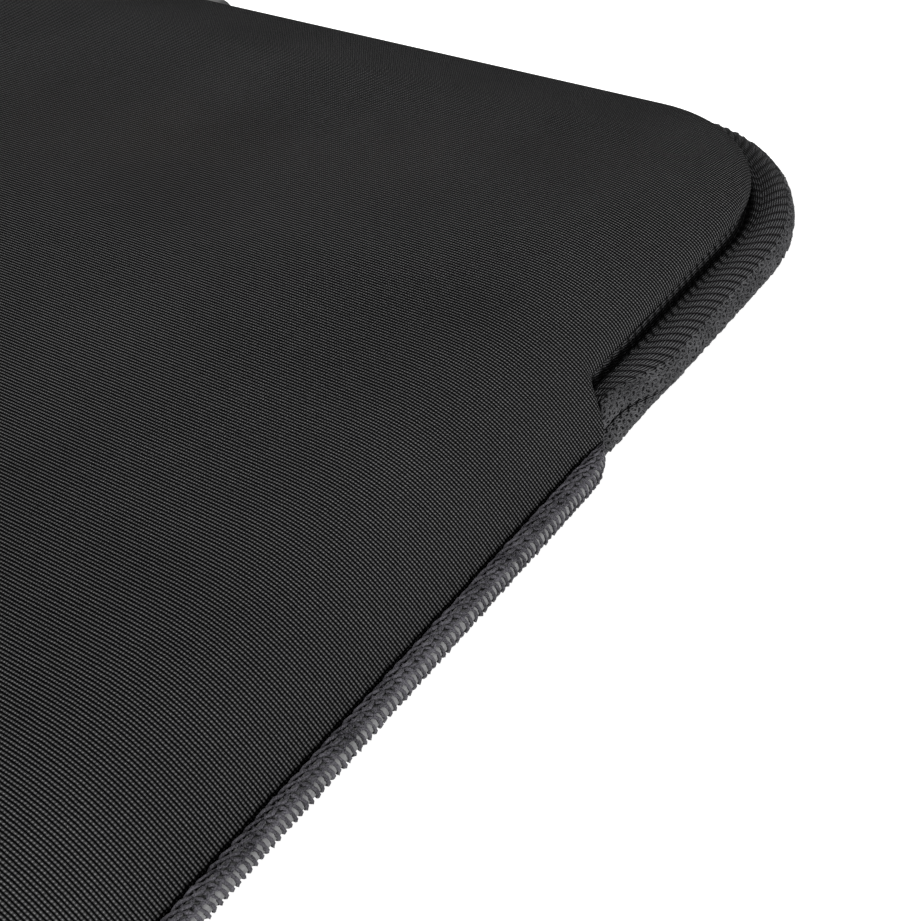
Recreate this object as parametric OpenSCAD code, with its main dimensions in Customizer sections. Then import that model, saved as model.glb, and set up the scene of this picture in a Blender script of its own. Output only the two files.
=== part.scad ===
// Padded sleeve for a 14 inch laptop, closed, lying on its back panel.
// Two padded panels are sewn together along the bottom and the lower sides.
// A coil zip with two sliders runs round the mouth, from one side seam to the other.
// X runs along the mouth, Y towards it and Z up. All sizes are in millimetres.

/* [Sleeve] */
// Distance between the needle lines of the two side seams
seam_w = 334; // [280:1:400]
// Distance from the bottom needle line to the panel edge at the mouth
panel_d = 234; // [190:1:300]
// Thickness of the closed sleeve
thick = 27; // [22:0.5:32]
// Plan radius of the mouth's corners, at the panel edge
corner_r = 26; // [18:0.5:32]
// Plan radius that is left to the flat field inside the corners
field_r = 7; // [1:0.5:9]
// Length of the zip down each side, from the panel edge at the mouth
zip_side = 68.5; // [50:0.5:90]

/* [Padded panels] */
// Thickness of the knitted face
face_t = 0.6; // [0.4:0.05:1]
// Thickness of the foam core
foam_t = 3.2; // [2:0.1:4]
// Thickness of the knitted lining
lining_t = 0.7; // [0.4:0.05:1]
// Height of the needle line above the middle of the sleeve
seam_rise = 1.2; // [1:0.1:2]
// Height of the panel edge above the middle of the sleeve at the zip
edge_rise = 8.2; // [7:0.1:9.4]
// Radius of the rolled panel edge at the zip
roll_r = 1.6; // [1.2:0.1:2]
// Distance of the panel edge at the zip inside the needle line
edge_inset = 5; // [4:0.5:8]

/* [Seam] */
// Width of the seam allowance outside the needle line
allowance_w = 2.2; // [1.6:0.1:4]
// Thickness of one seam allowance
allowance_t = 1.3; // [1:0.1:1.8]
// Thickness of the overlock thread round the allowances
thread_t = 0.7; // [0.5:0.1:1.2]
// Distance of the seam's end below the end of the zip
seam_start = 7; // [5:0.5:15]

/* [Zip] */
// Distance from the panel edge out to the middle of the zip
zip_out = 6; // [5:0.25:9]
// Radius of the tape's roll over the zip
tape_roll_r = 2; // [1.9:0.1:2.6]
// Height of the roll's centre above the middle of the sleeve
tape_roll_rise = 1.6; // [1.6:0.1:2]
// Thickness of the zip tape
tape_t = 0.6; // [0.4:0.05:0.8]
// Length of tape sewn under the panel edge
tape_in = 6; // [4:0.5:9]
// Thickness of the coil across the tape
coil_t = 2; // [1.4:0.1:2.2]
// Height of the coil's back above the middle of the zip
coil_h = 1.7; // [1.4:0.1:1.9]
// Distance between two teeth of the same coil
tooth_pitch = 1.75; // [1.5:0.05:2.2]
// Thickness of the binding over the sewn tape
binding_t = 0.5; // [0.3:0.05:0.8]

/* [Sliders] */
// Length of a slider
slider_l = 10; // [8:0.5:14]
// Thickness of a slider's plates
plate_t = 1; // [0.8:0.1:1.3]
// Width of the bail over a slider
bail_w = 2.2; // [1.6:0.1:3]
// Radius of the puller's bar
bar_r = 0.7; // [0.5:0.05:0.9]
// Length of a puller from its bar
puller_l = 24; // [16:1:34]
// Width of a puller
puller_w = 5.4; // [4.8:0.2:8]

/* [Hidden] */
$fn = 48;

// Knit, foam and thread colours
knit = [0.07, 0.07, 0.075];
foam = [0.16, 0.16, 0.17];
thread = [0.12, 0.12, 0.13];
nickel = [0.2, 0.2, 0.21];

// Clearances
split_gap = 0.3;      // between the fixed front panel and the flap
ply_gap = 0.05;       // half the gap between the two sewn panels
tooth_gap = 0.35;     // between a tooth and the back of the other coil
flank_gap = 0.15;     // between neighbouring teeth of the two coils
tack_l = 2;           // length of a bar tack
run_gap = 0.15;       // between a slider and what runs through it
bar_gap = 0.1;        // round a puller's bar

// Levels and lines that the pieces share
mid = thick / 2;
tape_z = tape_roll_rise + tape_roll_r;        // middle of the flat tape above mid
tape_top = tape_z + tape_t / 2;
tape_bottom = tape_z - tape_t / 2;
seam_x = seam_w / 2;
edge_x = seam_x - edge_inset;
overlock_w = allowance_w + run_gap + thread_t;
bail_h = 2 * (bar_r + bar_gap) + plate_t;
slider_out = tape_t / 2 + run_gap + plate_t + bail_h;   // slider's reach outside the tape
total_d = overlock_w + panel_d + zip_out + slider_out;
seam_y = overlock_w - total_d / 2;
edge_y = seam_y + panel_d;
zip_y = edge_y + zip_out;
split_y = edge_y - zip_side;

// The two kinds of panel edge: sewn into the seam, and rolled over the zip
SEAM = 0;
MOUTH = 1;
function edge_drop(kind) = mid - (kind == SEAM ? seam_rise : edge_rise);
function edge_power(kind) = kind == SEAM ? 3 : 2;
function edge_floor(kind) = mid + (kind == SEAM ? ply_gap : tape_top);
function edge_r(kind) = kind == SEAM ? corner_r + edge_inset : corner_r;
function shoulder_w(kind) = edge_r(kind) - field_r;
function lead(kind, s) = 1 - min(s, shoulder_w(kind)) / shoulder_w(kind);
function face_height(kind, s) = thick - edge_drop(kind) * pow(lead(kind, s), edge_power(kind));
function slope(kind, s) =
    edge_power(kind) * edge_drop(kind) / shoulder_w(kind) * pow(lead(kind, s), edge_power(kind) - 1);
function rolled(kind, s, t) =
    let (r = roll_r - t, u = roll_r - s)
    kind == MOUTH && r > 0 && u > 0 ? r - sqrt(max(0, r * r - u * u)) : 0;
// Height of the boundary that lies t below the face, at s inside the edge
function level(kind, s, t) =
    face_height(kind, s) - t * sqrt(1 + pow(slope(kind, s), 2)) - rolled(kind, s, t);

// Distances inside the edge at which a boundary is worked out; it starts t inside the edge
function stations(kind, t) =
    let (has_roll = kind == MOUTH && t < roll_r,
         start = has_roll ? roll_r : t,
         n = 9)
    concat(
        has_roll ? [for (a = [0 : 22.5 : 67.5]) roll_r - (roll_r - t) * cos(a)] : [],
        [for (i = [0 : n]) start + (shoulder_w(kind) - start) * i / n],
        [edge_r(kind)]);

function crossing(a, b, z) = a + (b - a) * (z - a.y) / (b.y - a.y);

// One boundary of a layer, from the floor of the edge to the corner's centre
function boundary(kind, t) =
    let (low = edge_floor(kind),
         all = [for (s = stations(kind, t)) [edge_r(kind) - s, level(kind, s, t)]],
         n = len(all) - 1,
         kept = [for (i = [0 : n])
             if (all[i].y > low) all[i]
             else if (i < n && all[i + 1].y > low) crossing(all[i], all[i + 1], low)])
    kept[0].y > low ? concat([[kept[0].x, low]], kept) : kept;

function reversed(list) = [for (i = [len(list) - 1 : -1 : 0]) list[i]];

module layer_profile(kind, t0, t1) {
    polygon(concat(boundary(kind, t0), reversed(boundary(kind, t1))));
}

// Sweeps a profile down both sides, round two corners and along the end between them.
// The profile's x is the distance outwards from the corner's centre, and r is where the line
// that half_w and length measure to lies.
module rim(half_w, length, r) {
    for (m = [0, 1])
        mirror([m, 0, 0]) {
            translate([half_w - r, 0, 0])
                rotate([90, 0, 0])
                linear_extrude(length - r) children();
            translate([half_w - r, r - length, 0])
                rotate([0, 0, -90])
                rotate_extrude(angle = 90) children();
        }
    translate([half_w - r, r - length, 0])
        rotate([90, 0, -90])
        linear_extrude(2 * (half_w - r)) children();
}

// One layer of a panel: its shaped rim and the flat field inside it
module layer(kind, half_w, length, t0, t1) {
    r = edge_r(kind);
    rim(half_w, length, r) layer_profile(kind, t0, t1);
    translate([r - half_w, r - length, thick - t1])
        cube([2 * (half_w - r), length - r, t1 - t0]);
}

module pocket_layer(t0, t1, gap = 0) {
    translate([0, split_y - gap / 2, 0])
        layer(SEAM, seam_x, split_y - seam_y - gap / 2, t0, t1);
}

module mouth_layer(t0, t1, gap = 0) {
    translate([0, split_y + gap / 2, 0]) mirror([0, 1, 0])
        layer(MOUTH, edge_x, zip_side - gap / 2, t0, t1);
}

// Places a profile round the mouth; its x is the distance outwards from the panel edge
module mouth_rim(gap = 0) {
    translate([0, split_y + gap, 0]) mirror([0, 1, 0])
        rim(edge_x, zip_side - gap, edge_r(MOUTH))
        translate([edge_r(MOUTH), 0]) children();
}

module seam_rim() {
    translate([0, split_y - seam_start, 0])
        rim(seam_x, split_y - seam_start - seam_y, edge_r(SEAM))
        translate([edge_r(SEAM), mid]) children();
}

module turned_over() {
    translate([0, 0, thick]) mirror([0, 0, 1]) children();
}

module seam_allowance() {
    seam_rim() translate([0, ply_gap]) square([allowance_w, allowance_t]);
}

face_depth = face_t;
foam_depth = face_depth + foam_t;
lining_depth = foam_depth + lining_t;

module back_face() {
    color(knit) turned_over() {
        pocket_layer(0, face_depth);
        mouth_layer(0, face_depth);
        seam_allowance();
    }
}

module back_foam() {
    color(foam) turned_over() {
        pocket_layer(face_depth, foam_depth);
        mouth_layer(face_depth, foam_depth);
    }
}

module back_lining() {
    color(knit) turned_over() {
        pocket_layer(foam_depth, lining_depth);
        mouth_layer(foam_depth, lining_depth);
    }
}

module front_face() {
    color(knit) {
        pocket_layer(0, face_depth, split_gap);
        seam_allowance();
    }
}

module front_foam() {
    color(foam) pocket_layer(face_depth, foam_depth, split_gap);
}

module front_lining() {
    color(knit) pocket_layer(foam_depth, lining_depth, split_gap);
}

module flap_face() {
    color(knit) mouth_layer(0, face_depth, split_gap);
}

module flap_foam() {
    color(foam) mouth_layer(face_depth, foam_depth, split_gap);
}

module flap_lining() {
    color(knit) mouth_layer(foam_depth, lining_depth, split_gap);
}

// The tape runs flat from under the panel edge, rolls over and ends at the middle of the zip
module tape_profile() {
    function roll(r) = [for (a = [90 : -15 : 0])
        [zip_out - tape_roll_r + r * cos(a), mid + tape_roll_rise + r * sin(a)]];
    outer = tape_roll_r + tape_t / 2;
    inner = tape_roll_r - tape_t / 2;
    end_x = zip_out - tape_roll_r;
    polygon(concat(
        [[-tape_in, mid + tape_z + tape_t / 2]], roll(outer),
        [[end_x + outer, mid + ply_gap], [end_x + inner, mid + ply_gap]],
        reversed(roll(inner)), [[-tape_in, mid + tape_z - tape_t / 2]]));
}

// Opening between the two halves of the zip, where the parked sliders hold them apart
eye_l = 2 * slider_l + 4;
module eye() {
    translate([-eye_l / 2, zip_y - coil_t - tape_t - 1, mid - 1.1])
        cube([eye_l, coil_t + 2 * tape_t + 2, 2.2]);
}

module upper_tape() {
    color(thread) difference() {
        mouth_rim(split_gap) tape_profile();
        eye();
    }
}

module lower_tape() {
    color(thread) turned_over() difference() {
        mouth_rim() tape_profile();
        eye();
    }
}

// Each coil has a back along the tape and teeth that reach across the middle of the zip, into
// the spaces between the other coil's teeth
back_h = 0.7;
tooth_top = coil_h - back_h;
tooth_tip = tooth_top - tooth_gap;
tooth_w = tooth_pitch / 2 - flank_gap;
coil_out = zip_out - tape_t / 2 - ply_gap - coil_t / 2;
coil_r = corner_r + coil_out;
module coil_profile() {
    translate([coil_out - coil_t / 2, mid + tooth_top]) square([coil_t, back_h]);
}

// A tooth at the origin of the mid plane; x is the distance outwards
module tooth() {
    root = tooth_w / 2;
    tip = tooth_w * 0.34;
    rotate([90, 0, 90]) linear_extrude(coil_t, center = true)
        polygon([[-root, tooth_top + 0.2], [-root, 0], [-tip, -tooth_tip],
                 [tip, -tooth_tip], [root, 0], [root, tooth_top + 0.2]]);
}

// Teeth round the mouth; phase moves them along by a share of the pitch
module teeth(phase) {
    side_l = zip_side - corner_r - split_gap;
    side_n = floor(side_l / tooth_pitch);
    corner_n = round(PI / 2 * coil_r / tooth_pitch);
    end_l = edge_x - corner_r - eye_l / 2;
    end_n = floor(end_l / tooth_pitch);
    for (m = [0, 1]) mirror([m, 0, 0]) {
        for (i = [0 : side_n - 1])
            translate([edge_x + coil_out, edge_y - corner_r - (i + phase) * side_l / side_n, mid])
                tooth();
        for (i = [0 : corner_n - 1])
            translate([edge_x - corner_r, edge_y - corner_r, mid])
                rotate([0, 0, 90 * (i + 1 - phase) / corner_n]) translate([coil_r, 0, 0]) tooth();
        for (i = [0 : end_n - 1])
            translate([edge_x - corner_r - (i + 1 - phase) * end_l / end_n, edge_y + coil_out, mid])
                rotate([0, 0, 90]) tooth();
    }
}

module upper_coil() {
    color(nickel) {
        difference() {
            mouth_rim(split_gap) coil_profile();
            eye();
        }
        teeth(0.25);
    }
}

module lower_coil() {
    color(nickel) turned_over() {
        difference() {
            mouth_rim() coil_profile();
            eye();
        }
        teeth(0.75);
    }
}

module binding_profile() {
    translate([-tape_in - 2, mid + tape_bottom - binding_t])
        square([tape_in + 1, binding_t]);
}

module upper_binding() {
    color(knit) mouth_rim(split_gap) binding_profile();
}

module lower_binding() {
    color(knit) turned_over() mouth_rim() binding_profile();
}

// Thread wrapped round the two seam allowances, open towards the needle line
module overlock_profile() {
    inner_h = ply_gap + allowance_t + ply_gap;
    outer_h = inner_h + thread_t;
    difference() {
        union() {
            translate([0, -outer_h]) square([overlock_w - outer_h, 2 * outer_h]);
            translate([overlock_w - outer_h, 0]) circle(outer_h);
        }
        translate([-overlock_w, -inner_h]) square([overlock_w + allowance_w + ply_gap, 2 * inner_h]);
        translate([-2 * outer_h, -2 * outer_h]) square([2 * outer_h, 4 * outer_h]);
    }
}

module seam_overlock() {
    color(thread) seam_rim() overlock_profile();
}

// Bar tacks sewn across the two tapes, outside the ends of the zip
module end_tacks() {
    color(thread) for (m = [0, 1]) mirror([m, 0, 0])
        translate([edge_x + zip_out + tape_t / 2, split_y + split_gap, mid - tape_roll_rise])
        cube([thread_t, tack_l, 2 * tape_roll_rise]);
}

// A slider lies with the tape's plane at y = 0, the outside at +y and its head at +x.
// Half outline of a plate: x along the slider, y across it. It flares from the tail to the
// shoulders at the head, and its ends are rounded.
plate_round = 1.4;
tail_share = 0.72;
function flare(t) = tail_share + (1 - tail_share) * pow(sin(90 * min(1, max(0, t))), 2);
function end_round(x) =
    let (u = max(0, abs(x) - slider_l / 2 + plate_round))
    plate_round - sqrt(max(0, plate_round * plate_round - u * u));
function plate_half(w) = [for (i = [0 : 20])
    let (x = slider_l * (i / 20 - 0.5))
    [x, w * flare(i / 16 - 0.15) - end_round(x)]];

module plate(w, y0, y1) {
    half = plate_half(w);
    translate([0, y1, 0]) rotate([90, 0, 0]) linear_extrude(y1 - y0)
        polygon(concat(half, reversed([for (p = half) [p.x, -p.y]])));
}

outer_plate_y = tape_t / 2 + run_gap;
inner_plate_y = -(tape_t / 2 + ply_gap + coil_t + run_gap);
bar_y = outer_plate_y + plate_t + bar_gap + bar_r;
bail_l = 7;
inner_half = tape_bottom - 0.6;
outer_half = tape_z;

module slider_body() {
    plate(outer_half, outer_plate_y, outer_plate_y + plate_t);
    plate(inner_half, inner_plate_y - plate_t, inner_plate_y);
    // Wedge between the plates that parts the coils
    translate([slider_l / 2 - 3.4, outer_plate_y + 0.2, 0]) rotate([90, 0, 0])
        linear_extrude(outer_plate_y - inner_plate_y + 0.4)
        polygon([[0, 0], [1.7, 0.8], [3.4, 0.5], [3.4, -0.5], [1.7, -0.8]]);
    // Arched bail that holds the puller's bar
    translate([0, 0, -bail_w / 2]) linear_extrude(bail_w) difference() {
        polygon(concat([[-bail_l / 2, outer_plate_y + plate_t / 2]],
            [for (a = [180 : -15 : 0])
                [bail_l / 2 * cos(a), outer_plate_y + plate_t * 0.8
                    + (bail_h + plate_t * 0.2) * pow(sin(a), 0.6)]],
            [[bail_l / 2, outer_plate_y + plate_t / 2]]));
        translate([0, bar_y]) circle(bar_r + bar_gap);
        translate([-bar_r - bar_gap, outer_plate_y + plate_t]) square([2 * (bar_r + bar_gap), bar_r]);
    }
}

// The puller's bar is at the origin and its tab lies along -x
arm_w = 0.8;
arm_in = bail_w / 2 + 0.2;
tab_root = bail_l / 2 + 1.6;
root_w = 2 * (arm_in + arm_w);
module puller() {
    translate([0, 0, -arm_in]) cylinder(r = bar_r, h = 2 * arm_in);
    for (m = [0, 1]) mirror([0, 0, m]) translate([0, 0, arm_in]) {
        cylinder(r = bar_r, h = arm_w);
        translate([-tab_root - 0.5, -bar_r, 0]) cube([tab_root + 0.5, 2 * bar_r, arm_w]);
    }
    translate([0, bar_r, 0]) rotate([90, 0, 0]) linear_extrude(2 * bar_r) difference() {
        union() {
            polygon([[-puller_l + puller_w / 2, -puller_w / 2], [-tab_root - 1, -root_w / 2],
                     [-tab_root, -root_w / 2 + 0.6], [-tab_root, root_w / 2 - 0.6],
                     [-tab_root - 1, root_w / 2], [-puller_l + puller_w / 2, puller_w / 2]]);
            translate([-puller_l + puller_w / 2, 0]) circle(puller_w / 2);
        }
        translate([-puller_l + puller_w / 2, 0]) circle(puller_w / 2 - 1.3);
    }
}

slider_park = slider_l / 2 + 0.6;
module left_slider() {
    color(nickel) translate([-slider_park, zip_y, mid]) slider_body();
}

module right_slider() {
    mirror([1, 0, 0]) left_slider();
}

module left_puller() {
    color(nickel) translate([-slider_park, zip_y + bar_y, mid]) puller();
}

module right_puller() {
    mirror([1, 0, 0]) left_puller();
}

back_face();
back_foam();
back_lining();
front_face();
front_foam();
front_lining();
flap_face();
flap_foam();
flap_lining();
upper_tape();
lower_tape();
upper_coil();
lower_coil();
upper_binding();
lower_binding();
seam_overlock();
end_tacks();
left_slider();
right_slider();
left_puller();
right_puller();
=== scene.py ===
# %% [markdown]
# # A padded laptop sleeve, modelled round its own construction
# The sleeve lies closed on its back panel. Its moving parts, seams and levels come from the
# loaded frame, so every piece below takes its place from a part that it belongs to.

# %% Load the frame
import math

import bmesh
import bpy
from mathutils import Euler, Matrix, Vector
from mathutils.noise import noise_vector, seed_set


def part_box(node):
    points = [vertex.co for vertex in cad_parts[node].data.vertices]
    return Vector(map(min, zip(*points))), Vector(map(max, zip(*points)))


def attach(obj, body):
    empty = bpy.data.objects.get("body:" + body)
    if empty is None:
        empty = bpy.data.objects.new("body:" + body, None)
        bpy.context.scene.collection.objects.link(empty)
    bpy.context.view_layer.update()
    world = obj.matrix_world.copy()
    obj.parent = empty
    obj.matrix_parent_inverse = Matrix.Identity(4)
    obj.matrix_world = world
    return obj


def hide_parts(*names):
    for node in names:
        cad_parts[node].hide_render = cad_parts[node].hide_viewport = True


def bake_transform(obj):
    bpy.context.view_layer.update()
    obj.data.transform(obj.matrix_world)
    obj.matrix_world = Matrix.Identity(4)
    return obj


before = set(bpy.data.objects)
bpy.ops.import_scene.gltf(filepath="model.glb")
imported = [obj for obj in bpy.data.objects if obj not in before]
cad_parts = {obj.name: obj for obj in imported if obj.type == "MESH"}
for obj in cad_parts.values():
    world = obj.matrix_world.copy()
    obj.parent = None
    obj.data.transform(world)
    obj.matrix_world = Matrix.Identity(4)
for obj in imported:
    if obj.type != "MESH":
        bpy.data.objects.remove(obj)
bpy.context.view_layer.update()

MM = 0.001
seed_set(1)                      # otherwise the noise starts from the clock and no run repeats

# %% [markdown]
# Two lines are shared by nearly every piece. The needle line is where the two panels are sewn
# together, and the panel edge is where a panel rolls over the zip. The split is the level at
# which the zip ends on both sides: the front panel bends there when the mouth opens.

# %% Lines and levels of the sleeve
lip_w = 3.05 * MM                # from the needle line to the outside of the overlock
seam_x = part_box("seam_overlock")[1].x - lip_w
seam_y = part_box("seam_overlock")[0].y + lip_w
edge_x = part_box("flap_face")[1].x
edge_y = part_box("flap_face")[1].y
split_y = (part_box("front_face")[1].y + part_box("flap_face")[0].y) / 2
top_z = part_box("front_face")[1].z
mid_z = top_z / 2
inset = seam_x - edge_x
mouth_r = 26 * MM                # the mouth's corners, at the panel edge
seam_r = mouth_r + inset         # the bottom corners, at the needle line
corner_x = edge_x - mouth_r
mouth_y = edge_y - mouth_r       # where the mouth's corners begin
pocket_y = seam_y + seam_r       # where the bottom corners end
print("needle line at", seam_x, seam_y, "panel edge at", edge_x, edge_y, "split at", split_y)

# %% [markdown]
# A camera close to one corner needs an exact place and direction. Its place is counted from the
# needle line, the panel edge and the top of the front panel, so it follows the sleeve. Its
# direction is given by three turns.

# %% Camera
camera_data = bpy.data.cameras.new("camera")
camera = bpy.data.objects.new("camera", camera_data)
bpy.context.collection.objects.link(camera)
camera_data.lens = 65.43
camera_data.sensor_width = 36
camera_data.clip_start = 0.01
camera_place = Vector((seam_x + 99.5 * MM, edge_y - 208 * MM, top_z + 132.6 * MM))
camera_turn = Euler([math.radians(angle) for angle in (49.0921, 7.3610, 35.8654)])
camera.matrix_world = Matrix.Translation(camera_place) @ camera_turn.to_matrix().to_4x4()
bpy.context.scene.camera = camera
print("camera at", camera_place)

# %% [markdown]
# Small helpers keep the later cells short. A sewn or woven piece is made flat, as cloth and
# thread come off the roll, and is then laid along its line on the sleeve. That keeps its
# pattern even along the straight sides and fans it out round the corners, as on the real one.

# %% Helpers: new pieces and soft steps
def finish_piece(name, bm, *materials):
    mesh = bpy.data.meshes.new(name)
    bm.to_mesh(mesh)
    bm.free()
    for material in materials:
        mesh.materials.append(material)
    mesh.shade_smooth()
    piece = bpy.data.objects.new(name, mesh)
    bpy.context.collection.objects.link(piece)
    print(name, len(mesh.polygons), "faces")
    return piece


def of_type(geometry, kind):
    return [g for g in geometry if isinstance(g, kind)]


def smooth_step(low, high, value):
    t = min(1, max(0, (value - low) / (high - low)))
    return t * t * (3 - 2 * t)


def fade(distance, width, power):
    return max(0, 1 - distance / width) ** power


# %% [markdown]
# The needle line and the panel edge are both a U: a straight side, a round corner, a straight end,
# and the same again on the left. One rule gives a place on either of them, so the seam, the zip
# and their threads all follow the same corners.

# %% Helpers: the two lines that run round the sleeve
def round_bend(s, side, radius):
    """A place on a U-shaped line, s along it from its right end. Returns x, the distance past
    the bend's centres, and the outward direction in the same two terms."""
    if s < side:
        return corner_x + radius, side - s, 1, 0
    s -= side
    if s < radius * math.pi / 2:
        angle = s / radius
        return (corner_x + radius * math.cos(angle), -radius * math.sin(angle),
                math.cos(angle), -math.sin(angle))
    s -= radius * math.pi / 2
    return corner_x - s, -radius, 0, -1


def line_length(side, radius):
    return 2 * (side + radius * math.pi / 2 + corner_x)


def on_line(s, out, side, radius):
    """The same, out to one side of the line, for both halves of it."""
    half = line_length(side, radius) / 2
    flip = 1
    if s > half:
        s = 2 * half - s
        flip = -1
    x, past, out_x, out_past = round_bend(max(0, s), side, radius)
    return flip * (x + out * out_x), past + out * out_past - min(0, s)


def seam_point(s, out, rise, start_y):
    """On the needle line: s along it from start_y on the right side."""
    x, past = on_line(s, out, start_y - pocket_y, seam_r)
    return Vector((x, pocket_y + past, mid_z + rise))


def mouth_point(s, out, rise, start_y):
    """On the panel edge at the mouth: s along it from start_y on the right side."""
    x, past = on_line(s, out, mouth_y - start_y, mouth_r)
    return Vector((x, mouth_y - past, mid_z + rise))


print("panel edge round the mouth:", line_length(mouth_y - split_y, mouth_r))

# %% [markdown]
# ## Materials
# The face is a fine dark knit: rows of loops painted pale, as a painted highlight on each loop,
# on a ground painted dark, as painted shade; the material itself has no shine. The loops are drawn
# by two cosine waves on the piece's UV map, which is the cloth laid flat and measured in metres,
# so the knit follows the cloth over the shoulders. The same waves raise the loops in the bump.

# %% Helpers: material nodes
def new_material(name, roughness, sheen=0.0, shine=0.2):
    material = bpy.data.materials.new(name)
    material.use_nodes = True
    shader = material.node_tree.nodes["Principled BSDF"]
    shader.inputs["Roughness"].default_value = roughness
    shader.inputs["Specular IOR Level"].default_value = shine
    shader.inputs["Sheen Weight"].default_value = sheen
    shader.inputs["Sheen Roughness"].default_value = 0.4
    return material, material.node_tree, shader


def socket(tree, target, value):
    """Feeds a socket from another node, or sets its own value."""
    if isinstance(value, bpy.types.NodeSocket):
        tree.links.new(value, target)
    else:
        target.default_value = value


def maths(tree, operation, a, b=0.0, c=0.0, clamp=False):
    node = tree.nodes.new("ShaderNodeMath")
    node.operation = operation
    node.use_clamp = clamp
    for target, value in zip(node.inputs, (a, b, c)):
        socket(tree, target, value)
    return node.outputs[0]


def wave(tree, value, pitch, shift=0.0):
    """A cosine of the given pitch, from 0 in the valleys to 1 on the crests."""
    turned = maths(tree, "MULTIPLY_ADD", value, 2 * math.pi / pitch, shift)
    return maths(tree, "MULTIPLY_ADD", maths(tree, "COSINE", turned), 0.5, 0.5)


def noise(tree, vector, size, detail=2.0):
    node = tree.nodes.new("ShaderNodeTexNoise")
    node.inputs["Scale"].default_value = 1 / size
    node.inputs["Detail"].default_value = detail
    tree.links.new(vector, node.inputs["Vector"])
    return node.outputs["Fac"]


def colour_ramp(tree, value, *stops):
    node = tree.nodes.new("ShaderNodeValToRGB")
    ramp = node.color_ramp
    for place, colour in stops[2:]:
        ramp.elements.new(place)
    for element, (place, colour) in zip(ramp.elements, sorted(stops)):
        element.position = place
        element.color = (*colour, 1)
    tree.links.new(value, node.inputs["Fac"])
    return node.outputs["Color"]


def bump(tree, shader, height, depth):
    node = tree.nodes.new("ShaderNodeBump")
    node.inputs["Strength"].default_value = 1
    node.inputs["Distance"].default_value = depth
    tree.links.new(height, node.inputs["Height"])
    tree.links.new(node.outputs["Normal"], shader.inputs["Normal"])


def map_parts(tree, name):
    """The two directions of a UV map."""
    node = tree.nodes.new("ShaderNodeUVMap")
    node.uv_map = name
    parts = tree.nodes.new("ShaderNodeSeparateXYZ")
    tree.links.new(node.outputs["UV"], parts.inputs[0])
    return parts.outputs["X"], parts.outputs["Y"]


def object_place(tree):
    return tree.nodes.new("ShaderNodeTexCoord").outputs["Object"]


# %% [markdown]
# Knitting is never quite even. A small noise moves the loops off their rows, a wide one makes the
# cloth look handled, and a fine one stands for the fuzz. Beside the seam every stitch also draws
# the cloth in, which a wave along the needle line gives.

# %% The knitted face
COURSE = 0.42 * MM               # from loop to loop across the sleeve
WALE = 0.50 * MM                 # from loop to loop towards the mouth
WANDER = 0.06 * MM               # how far a loop strays from its row
LOOP_RISE = 0.20 * MM            # how far a loop stands up from the ground
STITCH = 1.92 * MM               # from stitch to stitch of the overlock
PUCKER_W = 3.2 * MM              # how far from the needle line the cloth is drawn in
PUCKER_RISE = 0.55 * MM


def make_knit(name, dark, bright, pucker):
    material, tree, shader = new_material(name, 0.6, shine=0.0)
    across, along = map_parts(tree, "cloth")
    blur = noise(tree, object_place(tree), 0.9 * MM)
    wobble = maths(tree, "MULTIPLY_ADD", blur, 2 * WANDER, -WANDER)
    columns = wave(tree, maths(tree, "ADD", across, wobble), COURSE)
    rows = wave(tree, maths(tree, "ADD", along, wobble), WALE)
    loops = maths(tree, "MULTIPLY", maths(tree, "MULTIPLY_ADD", columns, 0.8, 0.2),
                  maths(tree, "POWER", rows, 2.0))
    worn = noise(tree, object_place(tree), 30 * MM, 3.0)
    fuzz = noise(tree, object_place(tree), 0.35 * MM, 2.0)
    tone = maths(tree, "MULTIPLY", loops, maths(tree, "MULTIPLY_ADD", worn, 0.4, 0.55))
    tone = maths(tree, "MULTIPLY", tone, maths(tree, "MULTIPLY_ADD", fuzz, 0.9, 0.8))
    # Painted highlight on the loops and painted shade in the ground between them, for the face and
    # the lining alike.
    tree.links.new(colour_ramp(tree, tone, (0, dark), (1, bright)), shader.inputs["Base Color"])
    height = maths(tree, "MULTIPLY", loops, LOOP_RISE)
    if pucker:
        height = maths(tree, "ADD", height, make_pucker(tree))
    bump(tree, shader, height, 1.0)
    return material


def make_pucker(tree):
    """Each stitch of the overlock draws the cloth in beside the needle line."""
    from_needle, along_needle = map_parts(tree, "seam")
    near = maths(tree, "MULTIPLY_ADD", from_needle, -1 / PUCKER_W, 1.0, clamp=True)
    return maths(tree, "MULTIPLY", maths(tree, "MULTIPLY", near, near),
                 maths(tree, "MULTIPLY", wave(tree, along_needle, STITCH), PUCKER_RISE))


face_knit = make_knit("knitted face", (0.0010, 0.0010, 0.0011), (0.185, 0.185, 0.187), True)
lining_knit = make_knit("knitted lining", (0.004, 0.004, 0.005), (0.090, 0.090, 0.093), False)
print("knit:", round(MM / COURSE, 1), "by", round(MM / WALE, 1), "loops to a millimetre")


# %% [markdown]
# The zip tape is a herringbone: warp yarns run along it, each one passing over a few weft
# yarns and dipping under the next, and each yarn dips a little later than its neighbour. On
# one side of the middle row they dip later and later, and on the other side earlier.

# %% The woven zip tape
RIB = 1.75 * MM                  # from dip to dip along one warp yarn
YARN = 0.36 * MM                 # from warp yarn to warp yarn
SLANT = 0.8                      # how much later the next yarn dips, per width of yarn
PICK = 0.35 * MM                 # from weft yarn to weft yarn
WEAVE_RISE = 0.14 * MM           # how far a warp yarn stands up where it floats


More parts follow.
